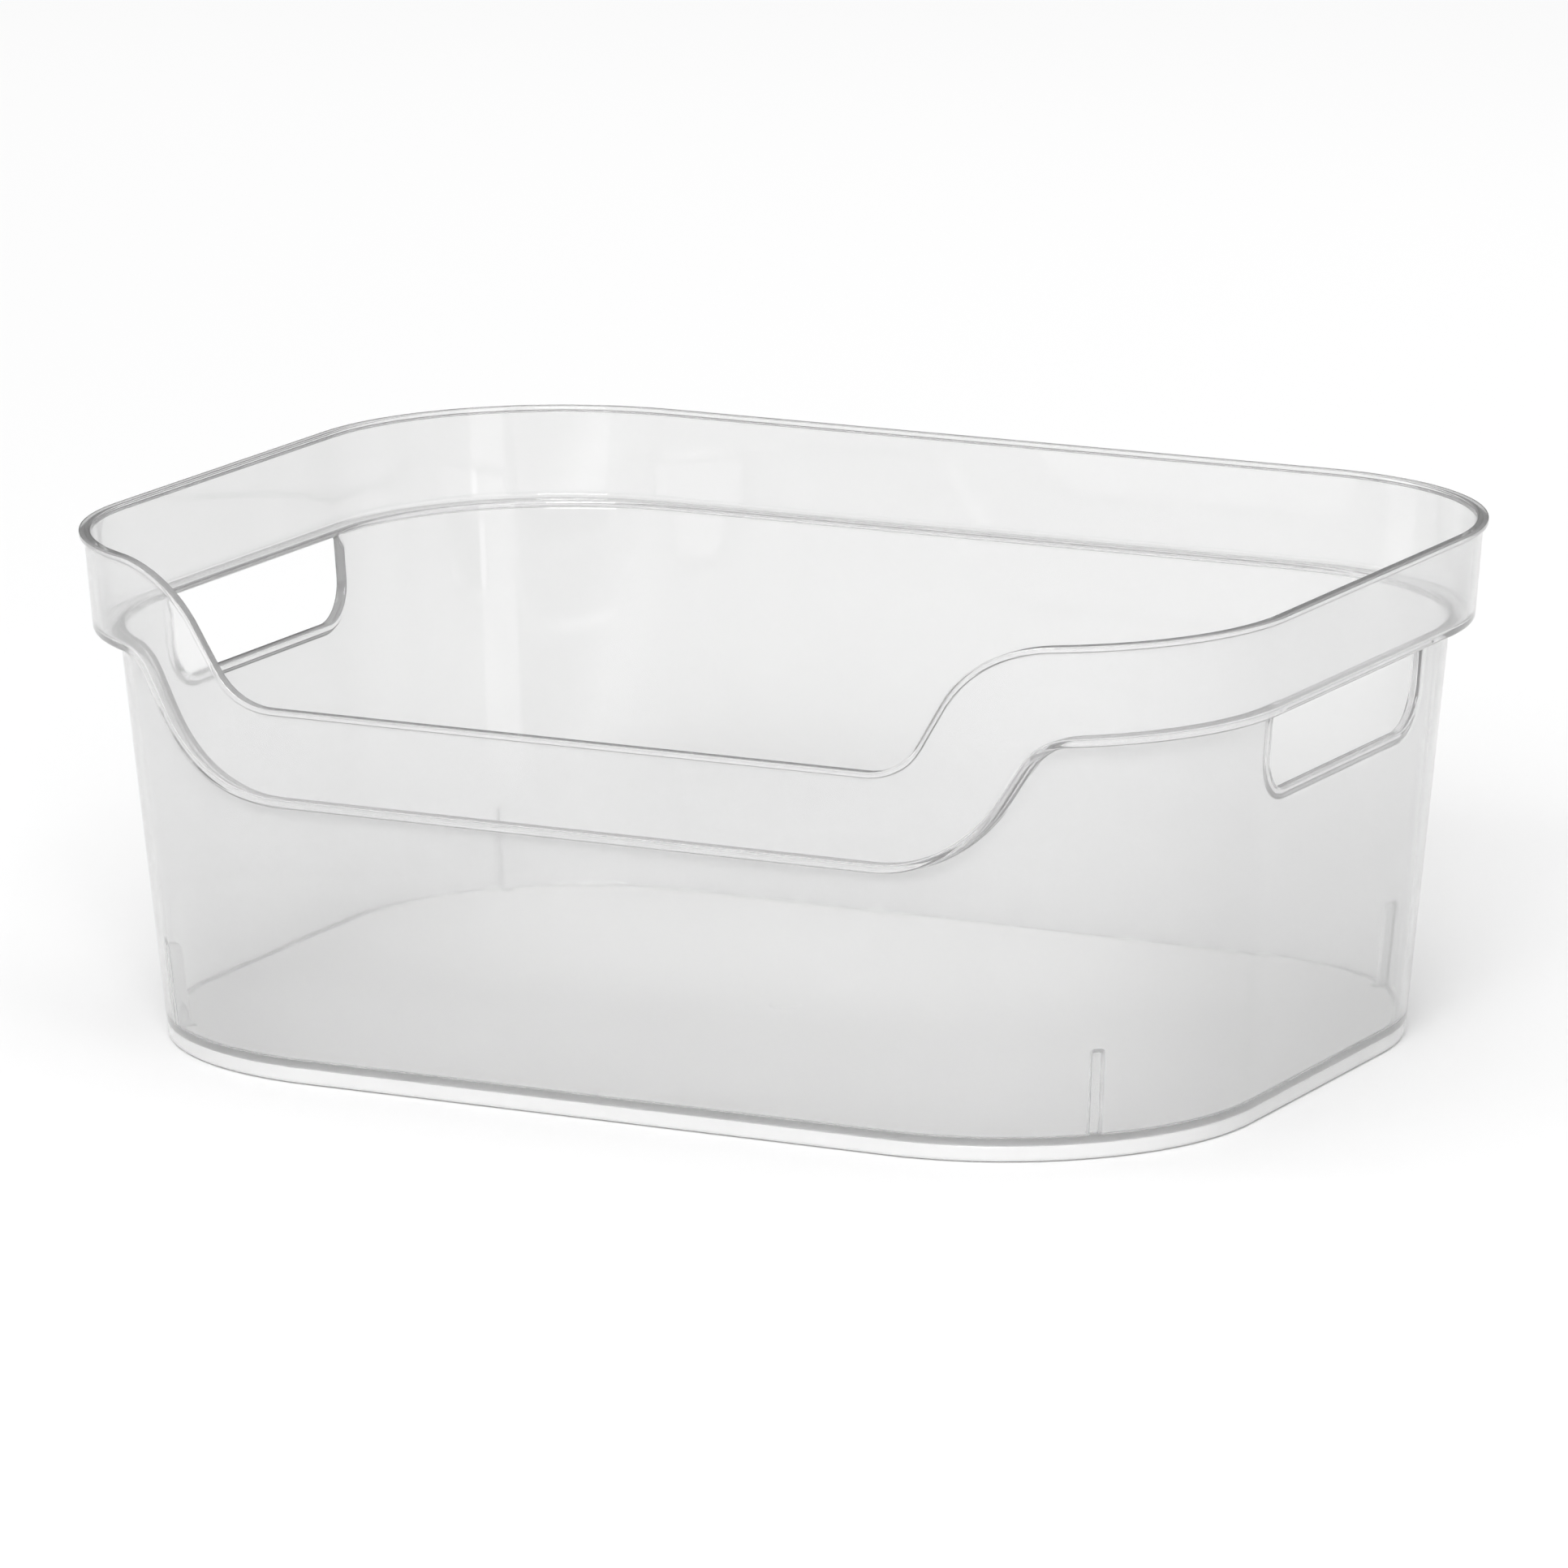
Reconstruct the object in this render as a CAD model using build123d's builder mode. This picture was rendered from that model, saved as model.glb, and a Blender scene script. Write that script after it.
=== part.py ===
"""Open storage bin: one clear moulding with a stepped collar, a scooped front and a hand opening in each end.

Frame: X along the length, -Y is the scooped front, +Z up, origin at the centre of the footprint on the shelf.
The real bin is one moulding.  Each node below is one region of it, and neighbouring regions meet face to face.
"""

import math
import os

from build123d import *

os.makedirs("parts", exist_ok=True)

# Overall sizes (mm)
length = 370.0
depth = 278.0
height = 149.0
corner_radius = 76.0

# Moulding
wall = 2.0
floor_thickness = 2.0
base_inset = 17.5
foot_height = 4.5
foot_round = 1.0

# Collar, the stepped-out band round the top
collar_height = 29.0
ledge_step = 5.4
collar_slope = 0.06

# Rim bead on the collar's top edge
bead_height = 1.8
bead_projection = 1.4

# Scoop in the front: a low straight edge with an S bend up to each corner
scoop_depth = 38.0
scoop_length = 185.0
scoop_angle = 59.0
rim_low_radius = 19.0
rim_high_radius = 34.0
ledge_low_radius = 45.0
ledge_high_radius = 12.0

# Hand opening in each end, with a thickened lip on three sides
grip_length = 102.0
grip_height = 24.5
grip_corner_radius = 12.0
lip_width = 2.4
lip_projection = 1.4
end_panel_margin = 6.0

# Nesting ribs, one in each corner
rib_width = 3.2
rib_depth = 3.4
rib_height = 24.5

# Moulding gate mark in the middle of the floor
gate_diameter = 9.0
gate_height = 0.3

# Derived sizes
floor_top = foot_height + floor_thickness
ledge_height = height - collar_height
lip_thickness = wall + lip_projection
collar_inset_at_ledge = bead_projection + collar_slope * collar_height
wall_slope = (base_inset - collar_inset_at_ledge - ledge_step) / ledge_height
end_panel_length = grip_length + 2 * (lip_width + end_panel_margin)
reach = length + depth


def rounded_loft(inset_at_base, inset_at_top, inside):
    """Drafted block over the whole height; inside is how far it lies within the wall's outer face."""
    with BuildPart() as block:
        for level, inset in ((0, inset_at_base + inside), (height, inset_at_top + inside)):
            with BuildSketch(Plane.XY.offset(level)):
                RectangleRounded(length - 2 * inset, depth - 2 * inset, corner_radius - inside)
        loft(ruled=True)
    return block.part


def wall_block(inside=0.0):
    """Outline of the lower walls, moved inwards by inside."""
    return rounded_loft(base_inset, base_inset - wall_slope * height, inside)


def collar_block(inside=0.0):
    """Outline of the collar, moved inwards by inside."""
    return rounded_loft(bead_projection + collar_slope * height, bead_projection, inside)


def below_rim_line(drop):
    """Everything under the line that lies drop below the rim: scooped in front, level behind."""
    share = drop / collar_height
    low_radius = rim_low_radius + share * (ledge_low_radius - rim_low_radius)
    high_radius = rim_high_radius + share * (ledge_high_radius - rim_high_radius)
    both_bends = low_radius + high_radius
    straight_rise = scoop_depth - both_bends * (1 - math.cos(math.radians(scoop_angle)))
    straight_run = straight_rise / math.tan(math.radians(scoop_angle))
    low_end = scoop_length / 2
    high_end = low_end + both_bends * math.sin(math.radians(scoop_angle)) + straight_run
    low_level = height - scoop_depth - drop
    high_level = height - drop
    with BuildPart() as region:
        with BuildSketch(Plane.XZ):
            with BuildLine():
                low_bend = CenterArc((low_end, low_level + low_radius), low_radius, -90, scoop_angle)
                high_bend = CenterArc((high_end, high_level - high_radius), high_radius, 90, scoop_angle)
                Line(low_bend @ 1, high_bend @ 1)
                Line((0, low_level), low_bend @ 0)
                Polyline(high_bend @ 0, (reach, high_level), (reach, -reach), (0, -reach), (0, low_level))
            make_face()
            mirror(about=Plane.YZ)
        extrude(amount=reach)
        with Locations((0, 0, high_level)):
            Box(2 * reach, reach, 2 * reach, align=(Align.CENTER, Align.MIN, Align.MAX))
    return region.part


def grip_outline(border):
    """Sketch of the hand opening with a border round its ends and bottom, drawn across the end wall."""
    radius = grip_corner_radius + border
    with BuildSketch(Plane.YZ.offset(-reach)) as outline:
        with Locations((0, ledge_height - grip_height - border)):
            RectangleRounded(
                grip_length + 2 * border,
                2 * (grip_height + border),
                radius,
                align=(Align.CENTER, Align.MIN),
            )
        with Locations((0, ledge_height)):
            Rectangle(reach, reach, align=(Align.CENTER, Align.MIN), mode=Mode.SUBTRACT)
    return outline.sketch


under_rim = below_rim_line(0)
under_bead = below_rim_line(bead_height)
above_ledge = below_rim_line(collar_height - wall)
under_ledge = below_rim_line(collar_height)

# Rings of the moulding, from the foot up to the rim
with BuildPart() as foot_ring:
    add(wall_block())
    add(wall_block(wall), mode=Mode.SUBTRACT)
    with Locations((0, 0, foot_height)):
        Box(reach, reach, reach, align=(Align.CENTER, Align.CENTER, Align.MIN), mode=Mode.SUBTRACT)
    outer_bottom_edge = foot_ring.faces().sort_by(Axis.Z)[0].outer_wire().edges()
    fillet(outer_bottom_edge, radius=foot_round)

with BuildPart() as wall_ring:
    add(wall_block())
    add(wall_block(wall), mode=Mode.SUBTRACT)
    add(under_ledge, mode=Mode.INTERSECT)
    with Locations((0, 0, foot_height)):
        Box(reach, reach, reach, align=(Align.CENTER, Align.CENTER, Align.MAX), mode=Mode.SUBTRACT)
    extrude(grip_outline(lip_width), amount=2 * reach, mode=Mode.SUBTRACT)

with BuildPart() as ledge_ring:
    add(collar_block())
    add(wall_block(wall), mode=Mode.SUBTRACT)
    add(above_ledge, mode=Mode.INTERSECT)
    add(under_ledge, mode=Mode.SUBTRACT)

with BuildPart() as collar_ring:
    add(collar_block())
    add(collar_block(wall), mode=Mode.SUBTRACT)
    add(under_bead, mode=Mode.INTERSECT)
    add(above_ledge, mode=Mode.SUBTRACT)

with BuildPart() as rim_ring:
    add(collar_block(-bead_projection))
    add(collar_block(wall), mode=Mode.SUBTRACT)
    add(under_rim, mode=Mode.INTERSECT)
    add(under_bead, mode=Mode.SUBTRACT)

# Floor, inside the walls, with the gate mark on it
with BuildPart() as floor_panel:
    add(wall_block(wall))
    with Locations((0, 0, foot_height)):
        Box(reach, reach, floor_thickness, align=(Align.CENTER, Align.CENTER, Align.MIN), mode=Mode.INTERSECT)
    with BuildSketch(Plane.XY.offset(floor_top)):
        Circle(gate_diameter / 2)
    extrude(amount=gate_height)

# Lips round the hand openings
with BuildPart() as grip_lips:
    extrude(grip_outline(lip_width), amount=2 * reach)
    extrude(grip_outline(0), amount=2 * reach, mode=Mode.SUBTRACT)
    add(wall_block(), mode=Mode.INTERSECT)
    add(wall_block(lip_thickness), mode=Mode.SUBTRACT)

# Nesting ribs, square to the corner bends
with BuildPart() as nesting_ribs:
    with BuildSketch(Plane.XY.offset(floor_top)):
        for side in (-1, 1):
            for end in (-1, 1):
                centre_x = end * (length / 2 - base_inset - corner_radius)
                centre_y = side * (depth / 2 - base_inset - corner_radius)
                with Locations(Location((centre_x, centre_y), math.degrees(math.atan2(side, end)))):
                    Rectangle(reach, rib_width, align=(Align.MIN, Align.CENTER))
    extrude(amount=rib_height)
    add(wall_block(wall), mode=Mode.INTERSECT)
    add(wall_block(wall + rib_depth), mode=Mode.SUBTRACT)

# Rings are divided where the straight sides end, so each node is a flat panel or a corner bend
panel_half = scoop_length / 2
end_half = end_panel_length / 2
columns = {"left": (-reach, -panel_half), "": (-panel_half, panel_half), "right": (panel_half, reach)}
rows = {"front": (-reach, -end_half), "": (-end_half, end_half), "back": (end_half, reach)}


def export_piece(part, name):
    part.label = name
    export_step(part, f"parts/{name}.step")


def export_region(ring, x_range, y_range, name):
    """Write the part of a ring that lies over one rectangle of the plan."""
    with BuildPart() as region:
        add(ring.part)
        with BuildSketch(Plane.XY):
            with Locations(((x_range[0] + x_range[1]) / 2, (y_range[0] + y_range[1]) / 2)):
                Rectangle(x_range[1] - x_range[0], y_range[1] - y_range[0])
        extrude(amount=height, mode=Mode.INTERSECT)
    export_piece(region.part, name)


for row, y_range in rows.items():
    for column, x_range in columns.items():
        if row or column:
            place = "_".join(word for word in (row, column) if word)
            shape = "corner_" if row and column else ""
            export_region(wall_ring, x_range, y_range, f"{place}_{shape}wall")
            export_region(collar_ring, x_range, y_range, f"{place}_{shape}collar")

for row, y_range in {"front": (-reach, 0), "back": (0, reach)}.items():
    export_region(ledge_ring, (-reach, reach), y_range, f"{row}_ledge")
    export_region(rim_ring, (-reach, reach), y_range, f"{row}_rim_bead")

for end, x_range in {"left": (-reach, 0), "right": (0, reach)}.items():
    export_region(grip_lips, x_range, (-reach, reach), f"{end}_grip_lip")

export_piece(foot_ring.part, "foot_ring")
export_piece(floor_panel.part, "floor_panel")
export_piece(nesting_ribs.part, "nesting_ribs")
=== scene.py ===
"""Clear storage bin, one polypropylene moulding: the surface of the whole moulding, its finishes and a studio stage.

The lengths in the shape functions are millimetres. The mesh is handed over in metres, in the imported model's frame:
X along the length, -Y the scooped front, Z up, origin in the middle of the footprint.
"""

import math
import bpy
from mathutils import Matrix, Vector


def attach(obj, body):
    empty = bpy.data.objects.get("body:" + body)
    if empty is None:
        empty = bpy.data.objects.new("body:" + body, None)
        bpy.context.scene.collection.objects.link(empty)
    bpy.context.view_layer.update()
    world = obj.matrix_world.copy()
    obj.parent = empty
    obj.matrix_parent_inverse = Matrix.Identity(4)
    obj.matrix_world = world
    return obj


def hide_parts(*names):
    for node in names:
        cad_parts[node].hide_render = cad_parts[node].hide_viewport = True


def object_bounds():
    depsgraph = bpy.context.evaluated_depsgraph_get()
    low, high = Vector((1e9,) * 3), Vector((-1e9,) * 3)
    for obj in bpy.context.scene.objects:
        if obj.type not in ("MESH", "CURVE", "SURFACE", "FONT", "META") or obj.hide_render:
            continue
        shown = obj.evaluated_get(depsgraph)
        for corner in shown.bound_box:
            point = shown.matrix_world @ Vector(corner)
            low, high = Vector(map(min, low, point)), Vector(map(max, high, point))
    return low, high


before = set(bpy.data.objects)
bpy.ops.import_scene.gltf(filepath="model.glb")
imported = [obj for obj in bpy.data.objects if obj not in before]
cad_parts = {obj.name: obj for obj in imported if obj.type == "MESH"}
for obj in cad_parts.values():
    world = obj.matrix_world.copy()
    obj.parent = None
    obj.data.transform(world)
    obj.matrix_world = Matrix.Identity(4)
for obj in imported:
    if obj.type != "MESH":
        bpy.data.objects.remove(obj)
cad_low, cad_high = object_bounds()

from types import SimpleNamespace

import bpy
import numpy as np
from bpy.props import FloatProperty, FloatVectorProperty, PointerProperty
from mathutils import Matrix, Vector

bl_info = {
    "name": "Clear storage bin",
    "version": (1, 0, 0),
    "blender": (4, 5, 0),
    "location": "View3D > Sidebar > Bin",
    "description": "Builds a clear stackable bin with a stepped collar, a scooped front and two hand openings",
    "category": "Add Mesh",
}

MM = 0.001

# Sizes that the CAD model fixes, in millimetres
LENGTH = round((cad_high.x - cad_low.x) / MM, 2)
DEPTH = round(2 * cad_high.y / MM, 2)
HEIGHT = round(cad_high.z / MM, 2)
CORNER_RADIUS = 76.0
BASE_INSET = 17.5
FOOT_HEIGHT = 4.5
FLOOR_TOP = 6.5
WALL = 2.0
COLLAR_HEIGHT = 29.0
LEDGE_STEP = 5.4
COLLAR_SLOPE = 0.06
BEAD_HEIGHT = 1.8
BEAD_PROJECTION = 1.4
SCOOP_DEPTH = 38.0
SCOOP_LENGTH = 185.0
SCOOP_ANGLE = math.radians(59.0)
RIM_LOW_RADIUS = 19.0
RIM_HIGH_RADIUS = 34.0
LEDGE_LOW_RADIUS = 45.0
LEDGE_HIGH_RADIUS = 12.0
GRIP_LENGTH = 102.0
GRIP_HEIGHT = 24.5
GRIP_CORNER_RADIUS = 12.0
RIB_WIDTH = 3.2
RIB_DEPTH = 3.4
RIB_TOP = 31.0
GATE_RADIUS = 4.5
GATE_HEIGHT = 0.3

LEDGE_LEVEL = HEIGHT - COLLAR_HEIGHT
COLLAR_INSET_AT_LEDGE = BEAD_PROJECTION + COLLAR_SLOPE * COLLAR_HEIGHT
WALL_SLOPE = (BASE_INSET - COLLAR_INSET_AT_LEDGE - LEDGE_STEP) / LEDGE_LEVEL

# Where the surface changes from columns at fixed places on the straight sides to columns fanned round the corners
LONG_STRAIGHT = LENGTH / 2 - CORNER_RADIUS - 1.0
RIB_ZONE = 3.0

# Distances outside the hand opening's edge at which columns stand, so that the lip has its own rows of faces
BESIDE_GRIP = np.array([0.0, 0.6, 1.2, 1.8, 2.25, 2.4, 2.5, 2.8, 3.4, 4.2, 6.0, 9.0])
PATCH_FLOOR = 85.0
JOIN_LEVEL = LEDGE_LEVEL - 0.5
RIB_CLEAR = 34.0
# How far inside the outer face the floor's rings start, past the ribs' inner ends
PAST_RIB = 9.0
JOIN_IN_LEVEL = LEDGE_LEVEL + 0.6

# Radii that stay as moulded: the rim's inner edge, inside the collar over the ledge, and a hand opening's edges
RIM_INNER_ROUND = 0.5
COLLAR_FILLET = 0.8
GRIP_EDGE_ROUND = 0.18
LEDGE_TOP = WALL - COLLAR_HEIGHT

# The stage, in metres: the paper's half width and its gap under the foot, and the depth at which the painted glow of
# the paper starts and the depth at which it is full
PAPER_HALF = 12.0
PAPER_LEVEL = -0.0003
GLOW_START = -0.4
GLOW_FULL = 1.6

FRONT_BACK, END, CORNER = 0, 1, 2
CLEAR, EDGE, FROST, FOOT = 0, 1, 2, 3


def linear(code):
    """Linear RGBA of an sRGB hex colour."""
    parts = [int(code[i:i + 2], 16) / 255 for i in (0, 2, 4)]
    return (*(p / 12.92 if p <= 0.04045 else ((p + 0.055) / 1.055) ** 2.4 for p in parts), 1.0)


class BinSizes(bpy.types.PropertyGroup):
    """Roundings and details that a moulder would change without a new mould frame."""

    foot_round: FloatProperty(name="Foot round", description="Radius under the foot's outer edge",
                              default=1.0 * MM, unit="LENGTH")
    collar_round: FloatProperty(name="Collar round", description="Radius where the ledge turns up into the collar",
                                default=1.2 * MM, unit="LENGTH")
    bead_round: FloatProperty(name="Bead round", description="Radius on the rim bead's outer edges",
                              default=0.5 * MM, unit="LENGTH")
    ledge_round: FloatProperty(name="Ledge round", description="Radius along the ledge's inner edge",
                               default=0.8 * MM, unit="LENGTH")
    floor_round: FloatProperty(name="Floor round", description="Radius between the walls and the floor",
                               default=0.8 * MM, unit="LENGTH")
    lip_projection: FloatProperty(name="Lip projection", description="How far the hand opening's lip stands inwards",
                                  default=1.4 * MM, unit="LENGTH")


class BinFinish(bpy.types.PropertyGroup):
    """Colours and gloss of the clear plastic."""

    wall_tint: FloatVectorProperty(name="Wall tint", description="Colour of light that has passed the wall",
                                   subtype="COLOR", size=4, min=0, max=1, default=linear("F1F1F1"))
    edge_tint: FloatVectorProperty(name="Edge tint", description="Colour of the thicker beads, ledge and lips",
                                   subtype="COLOR", size=4, min=0, max=1, default=linear("F4F4F4"))
    foot_tint: FloatVectorProperty(name="Foot tint", description="Colour of the foot ring",
                                   subtype="COLOR", size=4, min=0, max=1, default=linear("FFFFFF"))
    floor_tint: FloatVectorProperty(name="Floor tint", description="Colour of the frosted floor",
                                    subtype="COLOR", size=4, min=0, max=1, default=linear("FDFDFD"))
    wall_haze: FloatProperty(name="Wall haze", description="Roughness of the polished walls",
                             default=0.03, min=0, max=1, subtype="FACTOR")
    clarity: FloatProperty(name="Clarity",
                           description="Share of light that passes a face unscattered; the rest is milky",
                           default=0.84, min=0, max=1, subtype="FACTOR")
    edge_clarity: FloatProperty(name="Edge clarity", description="The same share for the beads and the ledge",
                                default=0.86, min=0, max=1, subtype="FACTOR")
    foot_clarity: FloatProperty(name="Foot clarity", description="The same share for the foot",
                                default=0.5, min=0, max=1, subtype="FACTOR")
    floor_clarity: FloatProperty(name="Floor clarity", description="The same share for the frosted floor",
                                 default=0.35, min=0, max=1, subtype="FACTOR")
    floor_frost: FloatProperty(name="Floor frost", description="Roughness of the frosted floor",
                               default=0.5, min=0, max=1, subtype="FACTOR")


class StageSettings(bpy.types.PropertyGroup):
    """The pale floor and the soft light."""

    floor_tint: FloatVectorProperty(name="Floor", description="Colour of the studio floor",
                                    subtype="COLOR", size=4, min=0, max=1, default=linear("E6E6E6"))
    # painted glow: emission put into the studio paper itself, which is no lamp; there is no light table under the
    # paper
    painted_glow: FloatProperty(name="Glow", description="Brightness of the light table under the paper",
                        default=0.17, min=0)
    light: FloatProperty(name="Light", description="Brightness of the light overhead", default=1.06, min=0)
    shade: FloatProperty(name="Shade", description="Brightness of the studio near the horizon", default=0.0, min=0)
    key: FloatProperty(name="Key light", description="Power of the soft light in front", default=150.0, min=0,
                       unit="POWER")
    strip: FloatProperty(name="Strip lights", description="Power of each upright strip light beside the bin",
                         default=2.5, min=0, unit="POWER")


def in_millimetres(group):
    """The group's lengths as plain numbers in millimetres."""
    return SimpleNamespace(**{name: getattr(group, name) / MM for name in group.__annotations__})


def arc(inside, level, radius, start, stop, steps=4):
    """Points (inside, level) on a circle round a centre, between two angles in degrees from inwards to up."""
    angle = np.radians(np.linspace(start, stop, steps + 1))
    return [(inside + radius * c, level + radius * n) for c, n in zip(np.cos(angle), np.sin(angle))]


def columns_round_the_plan():
    """The columns of the surface, anticlockwise from the front's left end.

    A column on a straight side keeps its place along the side at every height. A column in a corner is given by the
    corner it is in and by two numbers measured from the corner's 45 degree line, positive towards the front or back:
    near, in millimetres along the bend for the rib's columns, and far, the share of what is left up to the straight.
    """
    s_bend = np.arange(90.0, LONG_STRAIGHT - 0.5, 2.0)
    middle = np.linspace(-88.0, 88.0, 17)
    front = np.concatenate([-s_bend[::-1], middle, s_bend])
    back = np.linspace(-100.0, 100.0, 21)
    grip = GRIP_LENGTH / 2
    straight_part = np.linspace(-(grip - GRIP_CORNER_RADIUS), grip - GRIP_CORNER_RADIUS, 9)
    bent_part = grip - GRIP_CORNER_RADIUS + np.array([2.5, 5.0, 7.5, 10.0])
    beside = grip + BESIDE_GRIP
    end = np.concatenate([-beside[::-1], -bent_part[::-1], straight_part, bent_part, beside])
    rib = np.array([0.0, 0.5, 0.95, 1.3, 1.48, 1.56, 1.62, 1.72, 1.9, 2.3])

    def corner(count):
        far = np.linspace(0, 1, count)
        near = np.concatenate([rib, np.full(count, RIB_ZONE)])
        far = np.concatenate([np.zeros(len(rib)), far])
        return np.concatenate([-near[:0:-1], near]), np.concatenate([-far[:0:-1], far])

    parts = []

    def run(kind, side_x, side_y, along=0.0, near=0.0, far=0.0):
        parts.append(np.stack(np.broadcast_arrays(float(kind), side_x, side_y, along, near, far)))

    fine, coarse = corner(30), corner(14)
    run(FRONT_BACK, 0, -1, front)
    run(CORNER, 1, -1, near=fine[0][::-1], far=fine[1][::-1])
    run(END, 1, 0, end)
    run(CORNER, 1, 1, near=coarse[0], far=coarse[1])
    run(FRONT_BACK, 0, 1, back[::-1])
    run(CORNER, -1, 1, near=coarse[0][::-1], far=coarse[1][::-1])
    run(END, -1, 0, end[::-1])
    run(CORNER, -1, -1, near=fine[0], far=fine[1])
    kind, side_x, side_y, along, near, far = np.concatenate(parts, axis=1)
    return SimpleNamespace(kind=kind, side_x=side_x, side_y=side_y, along=along, near=near, far=far)


def on_the_plan(columns, collar, inside, level):
    """Plan position of each column on a face that lies inside the wall's or collar's outer face.

    The outline is a rectangle with corners of one radius, and its inset from the overall size falls evenly with the
    level. The corner centres move with the inset, and a face further inside keeps those centres and has a smaller
    radius. A straight side bends away from its line only past the corner centre, as the circle does.
    """
    inset = np.where(collar, BEAD_PROJECTION + COLLAR_SLOPE * (HEIGHT - level), BASE_INSET - WALL_SLOPE * level)
    centre_x = LENGTH / 2 - inset - CORNER_RADIUS
    centre_y = DEPTH / 2 - inset - CORNER_RADIUS
    radius = CORNER_RADIUS - inside
    along = columns.along + 0 * level
    past_x = np.clip(np.abs(along) - centre_x, 0, None)
    past_y = np.clip(np.abs(along) - centre_y, 0, None)
    front_y = centre_y + np.sqrt(np.clip(radius ** 2 - past_x ** 2, 0, None))
    end_x = centre_x + np.sqrt(np.clip(radius ** 2 - past_y ** 2, 0, None))
    turn = math.pi / 4 - np.arcsin((LONG_STRAIGHT - centre_x) / radius)
    angle = math.pi / 4 + columns.near / radius + columns.far * (turn - RIB_ZONE / radius)
    x = np.where(columns.kind == FRONT_BACK, along,
                 columns.side_x * np.where(columns.kind == END, end_x, centre_x + radius * np.cos(angle)))
    y = np.where(columns.kind == END, along,
                 columns.side_y * np.where(columns.kind == FRONT_BACK, front_y, centre_y + radius * np.sin(angle)))
    return x, y


def level_of_line(x, y, drop):
    """Level of the line that runs drop below the rim, over plan point (x, y).

    Behind the middle it is level. In front it is low between the S bends. Each bend is a low circle whose centre is
    above the line, a straight at the scoop's angle, and a high circle whose centre is below. The two radii change
    evenly from the rim's to the ledge's.
    """
    share = np.clip(drop / COLLAR_HEIGHT, 0, 1.2)
    low_radius = RIM_LOW_RADIUS + share * (LEDGE_LOW_RADIUS - RIM_LOW_RADIUS)
    high_radius = RIM_HIGH_RADIUS + share * (LEDGE_HIGH_RADIUS - RIM_HIGH_RADIUS)
    bends = low_radius + high_radius
    rise = SCOOP_DEPTH - bends * (1 - math.cos(SCOOP_ANGLE))
    reach = bends * math.sin(SCOOP_ANGLE) + rise / math.tan(SCOOP_ANGLE)
    out = np.abs(x) - SCOOP_LENGTH / 2
    low_run = np.clip(out, 0, low_radius * math.sin(SCOOP_ANGLE))
    high_run = np.clip(reach - out, 0, high_radius * math.sin(SCOOP_ANGLE))
    low_part = low_radius - np.sqrt(low_radius ** 2 - low_run ** 2)
    high_part = high_radius - np.sqrt(high_radius ** 2 - high_run ** 2)
    straight = np.clip(out - low_radius * math.sin(SCOOP_ANGLE), 0, rise / math.tan(SCOOP_ANGLE))
    climbed = low_part + straight * math.tan(SCOOP_ANGLE)
    climbed = climbed + high_radius * (1 - math.cos(SCOOP_ANGLE)) - high_part
    climbed = np.where(out >= reach, SCOOP_DEPTH, np.where(out <= 0, 0, climbed))
    return HEIGHT - drop - np.where(y < 0, SCOOP_DEPTH - climbed, 0)


def rib_across(near):
    """Share of the rib's depth at a distance from its middle: full on top, and down its flank in a narrow S."""
    half = RIB_WIDTH / 2
    return np.interp(np.abs(near), [0, half - 0.65, half - 0.3, half - 0.12, half - 0.04, half + 0.02, half + 0.12,
                                    half + 0.3, half + 0.7], [1, 1, 0.96, 0.84, 0.6, 0.3, 0.1, 0.02, 0])


def rib_up(level):
    """Share of the rib's depth at a level: full up to a rounded top, then none."""
    return np.interp(level, RIB_TOP + np.array([-1.6, -1.0, -0.5, -0.18, 0.0, 0.06, 0.3, 0.8]),
                     [1, 0.96, 0.85, 0.65, 0.4, 0.12, 0.02, 0])


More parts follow.
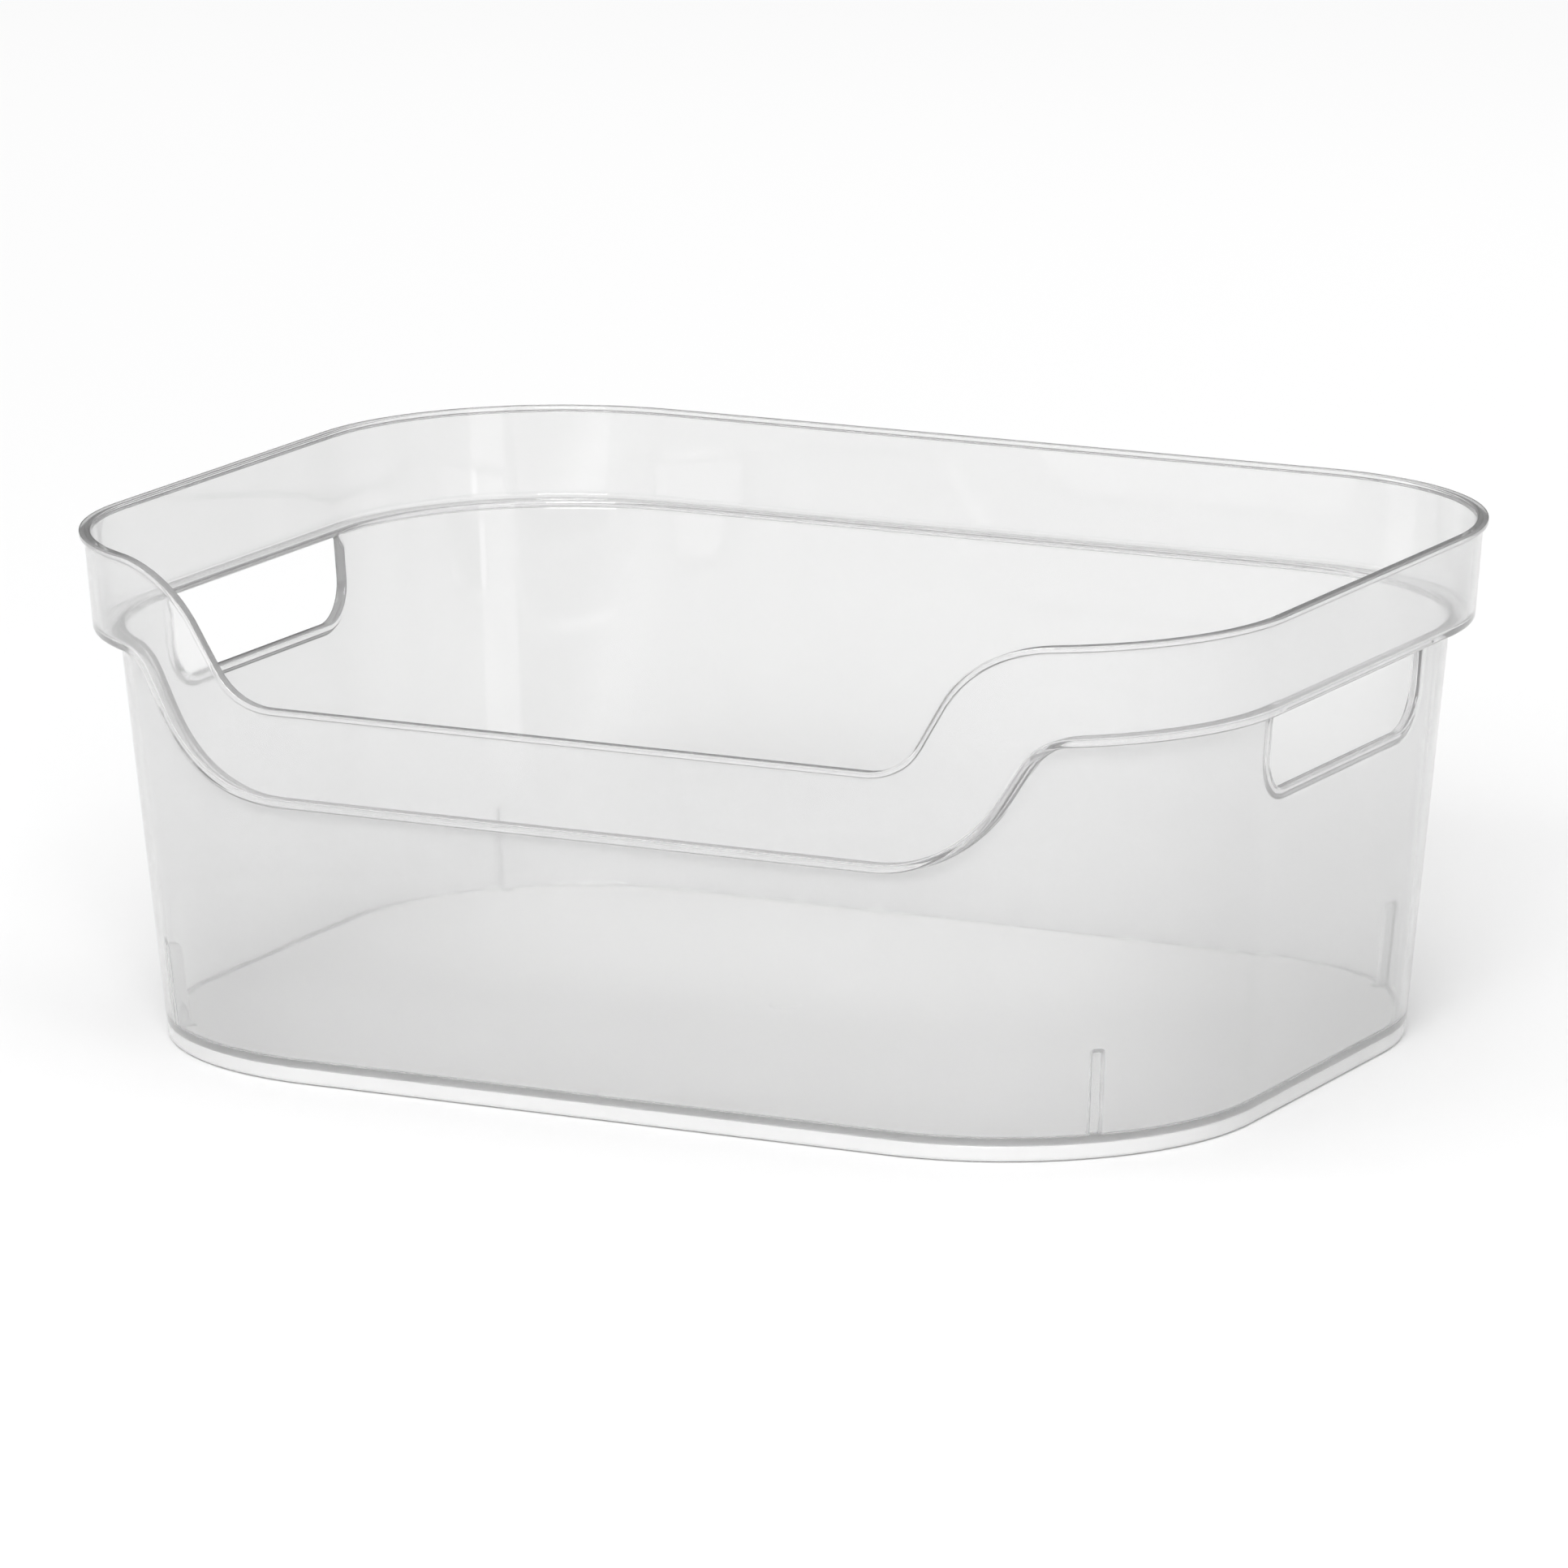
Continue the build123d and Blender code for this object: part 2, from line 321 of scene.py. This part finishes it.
def section(sizes):
    """The moulding's section as stations, from under the floor, up the outside, over the rim and down inside.

    A station is (how its level is given, whether it belongs to the collar, how far inside the outer face, level,
    finish of the faces that follow it). A "level" is a height, a "drop" is measured from the scooped rim line, and a
    "share" is a height that is squeezed under the scoop in proportion.
    """
    foot, turn, bead = sizes.foot_round, sizes.collar_round, sizes.bead_round
    ledge, floor = sizes.ledge_round, sizes.floor_round
    shares = [44, 56, 70, PATCH_FLOOR, 88, 91, 94, 97, 100, 103, 105.5, 107.5, 111, 114, 115.5, 116.5, 117.5, 118.5]
    rib_levels = [28, 29.4, 30.0, 30.3, 30.5, 30.7, 30.82, 30.92, 31.0, 31.06, 31.15, 31.35, 31.8]

    def given(how, collar, points, finish):
        return [(how, collar, inside, level, finish) for inside, level in points]

    outside = (
        given("level", False, [(2.6, FOOT_HEIGHT), (2.25, FOOT_HEIGHT)], FROST)
        + given("level", False, [(2.0, FOOT_HEIGHT - 0.3), (2, 3), (2, 1), (2, 0.4), (1.9, 0.1), (1.6, 0)], FOOT)
        + given("level", False, [(foot + 0.2, 0)] + arc(foot, foot, foot, 270, 180), FOOT)
        + given("level", False, [(0, z) for z in (1.5, 3, 4.2)], FOOT)
        + given("level", False, [(0, z) for z in (FOOT_HEIGHT, FLOOR_TOP, 8, 11, 16, 22, 28, RIB_CLEAR)], CLEAR)
        + given("share", False, [(0, z) for z in shares], CLEAR)
        + given("drop", False, [(0, JOIN_LEVEL - HEIGHT), (-0.12, -COLLAR_HEIGHT - 0.16),
                                (-0.45, -COLLAR_HEIGHT)], EDGE)
        + given("drop", True, [(turn + 1.5, -COLLAR_HEIGHT)]
                + arc(turn, turn - COLLAR_HEIGHT, turn, 270, 180), EDGE)
        + given("drop", True, [(0, d) for d in (LEDGE_TOP, -24, -20, -15, -10, -6, -3.2, -2.3)], CLEAR)
        + given("drop", True, [(0, -1.92), (-0.12, -BEAD_HEIGHT)], EDGE)
        + given("drop", True, arc(bead - BEAD_PROJECTION, bead - BEAD_HEIGHT, bead, 270, 180)
                + arc(bead - BEAD_PROJECTION, -bead, bead, 180, 90), EDGE)
    )
    inside = (
        given("drop", True, [(0, 0), (1, 0)]
              + arc(WALL - RIM_INNER_ROUND, -RIM_INNER_ROUND, RIM_INNER_ROUND, 90, 0), EDGE)
        + given("drop", True, [(WALL, d) for d in (-1, -2.3, -5, -9, -14, -19, -23, -25.4)], CLEAR)
        + given("drop", True, arc(WALL + COLLAR_FILLET, COLLAR_FILLET + LEDGE_TOP, COLLAR_FILLET, 180, 270)
                + [(WALL + 1.6, LEDGE_TOP)], EDGE)
        + given("drop", False, [(WALL - ledge - 0.6, LEDGE_TOP)]
                + arc(WALL - ledge, LEDGE_TOP - ledge, ledge, 90, 0), EDGE)
        + given("drop", False, [(WALL, JOIN_IN_LEVEL - HEIGHT)], CLEAR)
        + given("share", False, [(WALL, z) for z in shares[::-1]], CLEAR)
        + given("level", False, [(WALL, z) for z in [RIB_CLEAR] + rib_levels[::-1] + [22, 16, 11]], CLEAR)
        + given("level", False, [(WALL, FLOOR_TOP + floor + 0.4)]
                + arc(WALL + floor, FLOOR_TOP + floor, floor, 180, 270), CLEAR)
        + given("level", False, [(WALL + floor + 0.8, FLOOR_TOP), (PAST_RIB, FLOOR_TOP)], FROST)
    )
    return outside, inside


def skin(columns, stations):
    """Points of every station on every column, in three arrays (x, y, level) of stations by columns.

    The level of a line on the scooped side depends on the plan position, and the plan position on the level, because
    the walls are drafted, so the two are found in turns until they agree. The inner skin's nesting ribs push the
    stations inwards by the rib's depth times its shares across and up.
    """
    how = np.array([s[0] for s in stations])[:, None]
    collar = np.array([s[1] for s in stations])[:, None]
    inside = np.array([s[2] for s in stations])[:, None] + 0 * columns.along[None, :]
    given = np.array([s[3] for s in stations], float)[:, None] + 0 * columns.along[None, :]
    drop = np.where(how == "drop", -given, HEIGHT - JOIN_LEVEL)
    level = np.where(how == "level", given, HEIGHT - drop)
    in_corner = (columns.kind == CORNER) & (columns.far == 0)
    inner = (how == "level") & (inside >= WALL) & (inside < PAST_RIB) & (given > FLOOR_TOP - 0.01)
    rib = np.where(inner & in_corner, RIB_DEPTH * rib_across(columns.near) * rib_up(given), 0)
    inside = inside + rib
    for _ in range(14):
        x, y = on_the_plan(columns, collar, inside, level)
        level = np.where(how == "level", given, level_of_line(x, y, drop))
    squeezed = RIB_CLEAR + (given - RIB_CLEAR) * (level - RIB_CLEAR) / (JOIN_LEVEL - RIB_CLEAR)
    level = np.where(how == "share", squeezed, level)
    x, y = on_the_plan(columns, collar, inside, level)
    return np.stack([x, y, level], axis=-1)


def rings_to_the_middle(edge, rings, level, radii=()):
    """Rings that fill the flat area inside a closed row of points, from the outside in.

    A ring is the row drawn towards the middle by a factor, at one level. The last ones are circles, (radius, level),
    with each point in its own direction from the middle.
    """
    direction = edge[:, :2] / np.linalg.norm(edge[:, :2], axis=1, keepdims=True)
    flat = [np.column_stack([edge[:, :2] * k, np.full(len(edge), level)]) for k in rings]
    round_ones = [np.column_stack([direction * r, np.full(len(edge), z)]) for r, z in radii]
    return np.array(flat + round_ones)


def beside_opening(y, level, distance):
    """Place in the end wall's plane at a distance outside the hand opening's edge, nearest to the given place.

    The edge is a fixed distance, its corner radius, from a core that ends where the corners' centres are.
    """
    core = GRIP_LENGTH / 2 - GRIP_CORNER_RADIUS
    core_level = LEDGE_LEVEL - GRIP_HEIGHT + GRIP_CORNER_RADIUS
    core_y = np.clip(y, -core, core)
    core_z = np.maximum(level, core_level)
    away = np.hypot(y - core_y, level - core_z)
    radius = GRIP_CORNER_RADIUS + distance
    return core_y + radius * (y - core_y) / away, core_z + radius * (level - core_z) / away


def quads(rows):
    """Faces of a grid of point numbers, wound so that they face out where rows go up and columns anticlockwise."""
    return np.stack([rows[:-1, :-1], rows[:-1, 1:], rows[1:, 1:], rows[1:, :-1]], axis=-1).reshape(-1, 4)


def moulding_surface(sizes):
    """Points, faces and finishes of the whole moulding as one closed surface."""
    columns = columns_round_the_plan()
    outside, inside = section(sizes)
    stations = outside + inside
    points = skin(columns, stations)
    under = rings_to_the_middle(points[0], [0.05, 0.15, 0.3, 0.5, 0.7, 0.85, 0.94], FOOT_HEIGHT)
    over = rings_to_the_middle(points[-1], [0.93, 0.85, 0.7, 0.5, 0.3, 0.16], FLOOR_TOP,
                               [(9, FLOOR_TOP), (GATE_RADIUS + 0.5, FLOOR_TOP),
                                (GATE_RADIUS + 0.08, FLOOR_TOP + 0.03),
                                (GATE_RADIUS, FLOOR_TOP + 0.1), (GATE_RADIUS - 0.06, FLOOR_TOP + 0.25),
                                (GATE_RADIUS - 0.25, FLOOR_TOP + GATE_HEIGHT), (2, FLOOR_TOP + GATE_HEIGHT)])
    rows = np.concatenate([under, points, over])
    row_finish = [FROST] * len(under) + [s[4] for s in stations] + [FROST] * len(over)
    count = rows.shape[1]
    number = np.arange(rows.shape[0] * count).reshape(rows.shape[:2])
    around = np.concatenate([number, number[:, :1]], axis=1)
    coordinates = [rows.reshape(-1, 3)]
    made = number.size

    low = len(under) + [s[:4] for s in outside].index(("share", False, 0, PATCH_FLOOR))
    join = len(under) + [s[:4] for s in outside].index(("drop", False, 0, JOIN_LEVEL - HEIGHT))
    join_in = len(under) + len(outside) + [s[:4] for s in inside].index(
        ("drop", False, WALL, JOIN_IN_LEVEL - HEIGHT))
    low_in = len(under) + len(outside) + [s[:4] for s in inside].index(("share", False, WALL, PATCH_FLOOR))

    cell = quads(around).reshape(rows.shape[0] - 1, count, 4)
    kept = np.ones(cell.shape[:2], bool)
    finish = np.repeat(np.array(row_finish[:-1])[:, None], count, axis=1)
    extra_faces, extra_finish = [], []
    for side in (1, -1):
        patch = np.flatnonzero((columns.kind == END) & (columns.side_x == side))
        first, last = patch[0], patch[-1]
        kept[low:join, first:last] = False
        kept[join_in:low_in, first:last] = False
        mouth = patch[np.abs(columns.along[patch]) < GRIP_LENGTH / 2 + 0.01]

        # the ledge's rounded underside across the top of the opening
        across = SimpleNamespace(**{k: v[mouth] for k, v in vars(columns).items()})
        under_ledge = skin(across, [("drop", False, 0.6, JOIN_LEVEL - HEIGHT - 0.02, EDGE),
                                    ("drop", False, 1.4, JOIN_LEVEL - HEIGHT + 0.3, EDGE)])
        strip = np.stack([number[join_in, mouth], made + len(mouth) + np.arange(len(mouth)),
                          made + np.arange(len(mouth)), number[join, mouth]])
        coordinates.append(under_ledge.reshape(-1, 3))
        made += 2 * len(mouth)
        extra_faces.append(quads(strip))
        extra_finish.append(np.full(len(extra_faces[-1]), EDGE))

        # the U-shaped lip: its path goes down one side, along under the opening and up the other side
        way_out = np.concatenate([number[join:low:-1, first], number[low, first:last + 1],
                                  number[low + 1:join + 1, last]])
        way_in = np.concatenate([number[join_in:low_in, first], number[low_in, first:last + 1],
                                 number[low_in - 1:join_in - 1:-1, last]])
        flat = rows.reshape(-1, 3)
        from_y, from_level = flat[way_out, 1], flat[way_out, 2]
        fade = np.clip((JOIN_LEVEL - from_level) / 4, 0, 1)
        thick = WALL + sizes.lip_projection * fade * fade * (3 - 2 * fade)
        none = 0 * thick
        outer = [(d, none) for d in BESIDE_GRIP[-2:0:-1]]
        edge = [(GRIP_EDGE_ROUND, none + GRIP_EDGE_ROUND), (0.0, none + 0.6),
                (0.0, thick - 0.6), (GRIP_EDGE_ROUND, thick - GRIP_EDGE_ROUND)]
        lip = [0, 0.02, 0.06, 0.25, 0.45, 0.6, 0.88, 1, 1, 1]
        inner = [(d, thick - (thick - WALL) * k) for d, k in zip(BESIDE_GRIP[1:-1], lip)]
        layers = outer + edge + inner
        distance = np.array([d for d, _ in layers])[:, None]
        depth_in = np.array([n for _, n in layers])
        y, level = beside_opening(from_y[None, :], from_level[None, :], distance)
        here = SimpleNamespace(kind=END + 0 * y, side_x=side + 0 * y, side_y=0 * y, along=y, near=0 * y, far=0 * y)
        x, y = on_the_plan(here, False, depth_in, level)
        ring = made + np.arange(len(layers) * len(way_out)).reshape(len(layers), -1)
        coordinates.append(np.stack([x, y, level], axis=-1).reshape(-1, 3))
        made += ring.size
        ring = np.concatenate([way_out[None, :], ring, way_in[None, :]])
        count_out = len(BESIDE_GRIP)
        for at, corner, step in ((0, first, 1), (-1, last, -1)):
            beside = corner + step * np.arange(count_out)
            ring[:count_out, at] = number[join, beside]
            ring[count_out:count_out + 2, at] = strip[2:0:-1, 0 if at == 0 else -1]
            ring[count_out + 2:, at] = number[join_in, beside[::-1]]
        extra_faces.append(quads(ring))
        extra_finish.append(np.full(len(extra_faces[-1]), CLEAR))

    middles = made + np.arange(2)
    coordinates.append(np.array([[0, 0, FOOT_HEIGHT], [0, 0, FLOOR_TOP + GATE_HEIGHT]]))
    under_fan = np.stack([around[0, 1:], around[0, :-1], np.full(count, middles[0])], axis=-1)
    over_fan = np.stack([around[-1, :-1], around[-1, 1:], np.full(count, middles[1])], axis=-1)
    four_sided = np.concatenate([cell[kept], *extra_faces])
    finishes = np.concatenate([finish[kept], *extra_finish, np.full(2 * count, FROST)])
    xyz = np.concatenate(coordinates)
    used, renumbered = np.unique(np.concatenate([four_sided.ravel(), under_fan.ravel(), over_fan.ravel()]),
                                 return_inverse=True)
    four_sided_count = four_sided.size
    faces = renumbered[:four_sided_count].reshape(-1, 4).tolist()
    faces += renumbered[four_sided_count:].reshape(-1, 3).tolist()
    return xyz[used] * MM, faces, finishes


def mesh_object(name, points, faces, materials, finishes):
    """An object at the origin whose mesh holds the points and faces in place, smooth, with each face's finish."""
    mesh = bpy.data.meshes.new(name)
    mesh.from_pydata(points, [], faces)
    mesh.polygons.foreach_set("use_smooth", np.ones(len(faces), bool))
    for material in materials:
        mesh.materials.append(material)
    mesh.polygons.foreach_set("material_index", np.asarray(finishes, np.int32))
    mesh.update()
    if mesh.validate():
        raise RuntimeError(f"{name}: the surface has faces that share points wrongly")
    made = bpy.data.objects.new(name, mesh)
    bpy.context.scene.collection.objects.link(made)
    return made


def add_node(tree, kind, sockets=(), **settings):
    """Add a node: settings go on the node, and sockets are (input, value or the output that feeds it)."""
    node = tree.nodes.new(kind)
    for name, value in settings.items():
        setattr(node, name, value)
    for name, value in sockets:
        if isinstance(value, bpy.types.NodeSocket):
            tree.links.new(value, node.inputs[name])
        else:
            node.inputs[name].default_value = value
    return node


def new_material(name):
    """An empty material and its node tree."""
    material = bpy.data.materials.new(name)
    material.use_nodes = True
    material.node_tree.nodes.clear()
    return material, material.node_tree


def polypropylene_polished(finish):
    """Clarified polypropylene moulded against a polished cavity: a clear, faintly grey wall with a slow ripple."""
    material, tree = new_material("clarified_polypropylene_polished")
    place = add_node(tree, "ShaderNodeTexCoord").outputs["Object"]
    # melt flow leaves the wall slightly uneven over about 45 mm
    flow = add_node(tree, "ShaderNodeTexNoise", [("Vector", place), ("Scale", 1 / 0.045), ("Detail", 1.0)])
    # handling leaves faint dull patches about 12 mm across
    dull = add_node(tree, "ShaderNodeTexNoise", [("Vector", place), ("Scale", 1 / 0.012), ("Detail", 3.0)])
    rough = add_node(tree, "ShaderNodeMapRange", [("Value", dull.outputs["Fac"]), ("From Min", 0.35),
                     ("From Max", 0.75), ("To Min", finish.wall_haze), ("To Max", finish.wall_haze + 0.05)])
    ripple = add_node(tree, "ShaderNodeBump", [("Height", flow.outputs["Fac"]), ("Distance", 0.0003),
                                               ("Strength", 0.2)])
    # drawing off the core leaves upright marks, some 2 mm apart and up to 60 mm tall
    stretched = add_node(tree, "ShaderNodeMapping", [("Vector", place), ("Scale", (1 / 0.002, 1 / 0.002, 1 / 0.06))])
    drag = add_node(tree, "ShaderNodeTexNoise", [("Vector", stretched.outputs["Vector"]), ("Scale", 1.0),
                                                 ("Detail", 2.0)])
    marks = add_node(tree, "ShaderNodeBump", [("Height", drag.outputs["Fac"]), ("Distance", 0.00001),
                                              ("Strength", 0.3), ("Normal", ripple.outputs["Normal"])])
    shader = add_node(tree, "ShaderNodeBsdfPrincipled", [
        ("Base Color", finish.wall_tint), ("Roughness", rough.outputs["Result"]), ("IOR", 1.49),
        ("Transmission Weight", finish.clarity), ("Normal", marks.outputs["Normal"])])
    add_node(tree, "ShaderNodeOutputMaterial", [("Surface", shader.outputs["BSDF"])])
    return material


def polypropylene_edge(finish):
    """The same plastic in the beads and the ledge, where the cavity is polished brightest: glossy and sharp."""
    material, tree = new_material("clarified_polypropylene_edge")
    place = add_node(tree, "ShaderNodeTexCoord").outputs["Object"]
    # small rubs along the edges, about 4 mm apart
    rub = add_node(tree, "ShaderNodeTexNoise", [("Vector", place), ("Scale", 1 / 0.004), ("Detail", 2.0)])
    rough = add_node(tree, "ShaderNodeMapRange", [("Value", rub.outputs["Fac"]), ("From Min", 0.5),
                     ("From Max", 0.8), ("To Min", 0.01), ("To Max", 0.03)])
    shader = add_node(tree, "ShaderNodeBsdfPrincipled", [
        ("Base Color", finish.edge_tint), ("Roughness", rough.outputs["Result"]), ("IOR", 1.49),
        ("Transmission Weight", finish.edge_clarity)])
    add_node(tree, "ShaderNodeOutputMaterial", [("Surface", shader.outputs["BSDF"])])
    return material


def polypropylene_foot(finish):
    """The same plastic in the foot, which carries scuffs and isn't polished: whiter, and it catches the light."""
    material, tree = new_material("clarified_polypropylene_foot")
    place = add_node(tree, "ShaderNodeTexCoord").outputs["Object"]
    # shelf scuffs about 8 mm apart
    scuff = add_node(tree, "ShaderNodeTexNoise", [("Vector", place), ("Scale", 1 / 0.008), ("Detail", 2.0)])
    rough = add_node(tree, "ShaderNodeMapRange", [("Value", scuff.outputs["Fac"]), ("From Min", 0.4),
                     ("From Max", 0.7), ("To Min", 0.06), ("To Max", 0.14)])
    shader = add_node(tree, "ShaderNodeBsdfPrincipled", [
        ("Base Color", finish.foot_tint), ("Roughness", rough.outputs["Result"]), ("IOR", 1.49),
        ("Transmission Weight", finish.foot_clarity)])
    add_node(tree, "ShaderNodeOutputMaterial", [("Surface", shader.outputs["BSDF"])])
    return material


def polypropylene_frosted(finish):
    """The same plastic moulded against a spark-eroded cavity face: an even grain that blurs what is under it."""
    material, tree = new_material("clarified_polypropylene_frosted")
    place = add_node(tree, "ShaderNodeTexCoord").outputs["Object"]
    # the real grain is about 0.1 mm, drawn at 0.7 mm so that it can show
    grain = add_node(tree, "ShaderNodeTexNoise", [("Vector", place), ("Scale", 1 / 0.0007), ("Detail", 2.0)])
    worn = add_node(tree, "ShaderNodeTexNoise", [("Vector", place), ("Scale", 1 / 0.03), ("Detail", 2.0)])
    rough = add_node(tree, "ShaderNodeMapRange", [("Value", worn.outputs["Fac"]), ("From Min", 0.3),
                     ("From Max", 0.7), ("To Min", finish.floor_frost - 0.06),
                     ("To Max", finish.floor_frost + 0.06)])
    bumps = add_node(tree, "ShaderNodeBump", [("Height", grain.outputs["Fac"]), ("Distance", 0.00006),
                                              ("Strength", 0.5)])
    shader = add_node(tree, "ShaderNodeBsdfPrincipled", [
        ("Base Color", finish.floor_tint), ("Roughness", rough.outputs["Result"]), ("IOR", 1.49),
        ("Transmission Weight", finish.floor_clarity), ("Normal", bumps.outputs["Normal"])])
    add_node(tree, "ShaderNodeOutputMaterial", [("Surface", shader.outputs["BSDF"])])
    return material


class BIN_OT_moulding(bpy.types.Operator):
    """Make the bin's moulding: foot, floor, walls, ledge, collar, rim bead, hand-opening lips and nesting ribs"""

    bl_idname = "bin.moulding"
    bl_label = "Make the moulding"

    def execute(self, context):
        scene = context.scene
        sizes = in_millimetres(scene.bin_sizes)
        points, faces, finishes = moulding_surface(sizes)
        materials = [polypropylene_polished(scene.bin_finish), polypropylene_edge(scene.bin_finish),
                     polypropylene_frosted(scene.bin_finish), polypropylene_foot(scene.bin_finish)]
        moulding = mesh_object("bin_moulding", points, faces, materials, finishes)
        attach(moulding, "root")
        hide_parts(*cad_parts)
        return {"FINISHED"}


class BIN_OT_stage(bpy.types.Operator):
    """Make the pale studio floor, the soft light and the camera"""

    bl_idname = "bin.stage"
    bl_label = "Make the stage"

    def execute(self, context):
        scene = context.scene
        stage = scene.bin_stage
        material, tree = new_material("matt_white_studio_paper")
        # painted glow: the paper itself gives off light, though no lamp is under it. It is nothing 0.4 m in front of
        # the bin and rises to full 1.6 m behind it, where the key light has fallen off
        place = add_node(tree, "ShaderNodeTexCoord").outputs["Object"]
        backwards = add_node(tree, "ShaderNodeSeparateXYZ", [("Vector", place)]).outputs["Y"]
        painted_glow = add_node(tree, "ShaderNodeMapRange", [("Value", backwards), ("From Min", GLOW_START),
                        ("From Max", GLOW_FULL), ("To Min", 0.0), ("To Max", stage.painted_glow)],
                        interpolation_type="SMOOTHSTEP")
        shader = add_node(tree, "ShaderNodeBsdfPrincipled", [
            ("Base Color", stage.floor_tint), ("Roughness", 0.9), ("Specular IOR Level", 0.1),
            ("Emission Color", (1, 1, 1, 1)), ("Emission Strength", painted_glow.outputs["Result"])])
        add_node(tree, "ShaderNodeOutputMaterial", [("Surface", shader.outputs["BSDF"])])
        corners = [(x * PAPER_HALF, y * PAPER_HALF, PAPER_LEVEL) for x, y in ((-1, -1), (1, -1), (1, 1), (-1, 1))]
        mesh_object("studio_floor", corners, [(0, 1, 2, 3)], [material], [0])

        # the studio: bright overhead, darker towards the horizon, so that the clear edges have something to show
        world = bpy.data.worlds.new("studio")
        scene.world = world
        world.use_nodes = True
        tree = world.node_tree
        tree.nodes.clear()
        direction = add_node(tree, "ShaderNodeTexCoord").outputs["Generated"]
        upwards = add_node(tree, "ShaderNodeSeparateXYZ", [("Vector", direction)]).outputs["Z"]
        strength = add_node(tree, "ShaderNodeMapRange", [("Value", upwards), ("From Min", 0.05), ("From Max", 0.75),
                            ("To Min", stage.shade), ("To Max", stage.light)], interpolation_type="SMOOTHSTEP")
        sky = add_node(tree, "ShaderNodeBackground", [("Color", (1, 1, 1, 1)),
                                                      ("Strength", strength.outputs["Result"])])
        add_node(tree, "ShaderNodeOutputWorld", [("Surface", sky.outputs["Background"])])
        scene.view_settings.view_transform = "Standard"

        # a broad soft light in front on the right, and an upright strip on each side for the bands in the corners
        for name, place, target, width, tall, power in (
            ("key_light", (1.2, -3.6, 2.2), (0, 0, 0.08), 2.4, 1.6, stage.key),
            ("right_strip", (1.19, -0.68, 0.5), (0, 0.05, 0.08), 0.5, 1.0, stage.strip),
            ("left_strip", (-1.2, -0.5, 0.5), (0, 0, 0.08), 0.5, 1.0, stage.strip),
        ):
            light = bpy.data.lights.new(name, "AREA")
            light.shape = "RECTANGLE"
            light.size, light.size_y, light.energy = width, tall, power
            lamp = bpy.data.objects.new(name, light)
            aim = Vector(target) - Vector(place)
            lamp.matrix_world = Matrix.Translation(place) @ aim.to_track_quat("-Z", "Y").to_matrix().to_4x4()
            lamp.visible_camera = False
            scene.collection.objects.link(lamp)

        camera = bpy.data.cameras.new("camera")
        camera.sensor_width = 36.0
        camera.lens = 253.73
        camera.clip_start, camera.clip_end = 0.1, 50.0
        eye = bpy.data.objects.new("camera", camera)
        right, up, back = (0.89276, 0.45052, -0.00298), (-0.0947, 0.19411, 0.9764), (0.44046, -0.87141, 0.21596)
        turn = Matrix((right, up, back)).transposed().to_4x4()
        eye.matrix_world = Matrix.Translation((1.39598, -2.76303, 0.75629)) @ turn
        scene.collection.objects.link(eye)
        scene.camera = eye
        return {"FINISHED"}


class BIN_PT_panel(bpy.types.Panel):
    """The bin's sizes, finish and stage"""

    bl_idname = "BIN_PT_panel"
    bl_label = "Clear storage bin"
    bl_space_type = "VIEW_3D"
    bl_region_type = "UI"
    bl_category = "Bin"

    def draw(self, context):
        scene = context.scene
        for group in (scene.bin_sizes, scene.bin_finish, scene.bin_stage):
            box = self.layout.box()
            for name in group.__annotations__:
                box.prop(group, name)
        self.layout.operator(BIN_OT_moulding.bl_idname)
        self.layout.operator(BIN_OT_stage.bl_idname)


CLASSES = (BinSizes, BinFinish, StageSettings, BIN_OT_moulding, BIN_OT_stage, BIN_PT_panel)


def register():
    for made in CLASSES:
        bpy.utils.register_class(made)
    bpy.types.Scene.bin_sizes = PointerProperty(type=BinSizes)
    bpy.types.Scene.bin_finish = PointerProperty(type=BinFinish)
    bpy.types.Scene.bin_stage = PointerProperty(type=StageSettings)


def unregister():
    del bpy.types.Scene.bin_stage, bpy.types.Scene.bin_finish, bpy.types.Scene.bin_sizes
    for made in reversed(CLASSES):
        bpy.utils.unregister_class(made)


def main():
    register()
    bpy.ops.bin.stage()
    bpy.ops.bin.moulding()


if __name__ == "__main__":
    main()
